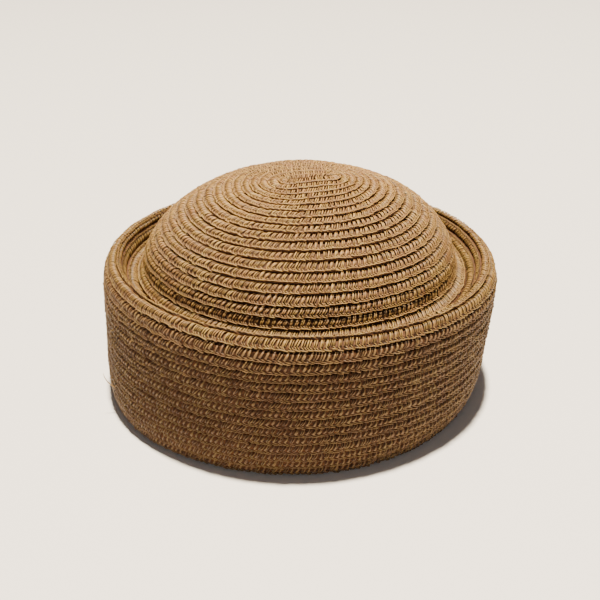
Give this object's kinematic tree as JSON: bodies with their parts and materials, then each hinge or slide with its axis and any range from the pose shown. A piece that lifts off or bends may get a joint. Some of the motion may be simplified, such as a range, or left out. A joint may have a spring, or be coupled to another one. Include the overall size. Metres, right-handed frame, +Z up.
{
  "type": "straw beret",
  "caption": "Brimless hat of sewn straw braid: a domed top, a shallow groove round it, a rounded rim and an upright side, open below for the head.",
  "frame": {"origin": "under the middle of the hat's box, on the plane that the edge of the head opening rests on", "axes": "+Z up through the top of the dome, -Y towards the viewer of the picture, +X to the viewer's right"},
  "size_m": [0.2006, 0.1986, 0.1096],
  "materials": {
    "straw_braid": "dry natural straw, slightly glossy on the strands"
  },
  "bodies": {
    "root": {"crown_dome": "straw_braid", "rim_roll": "straw_braid", "side_wall": "straw_braid"}
  },
  "joints": []
}
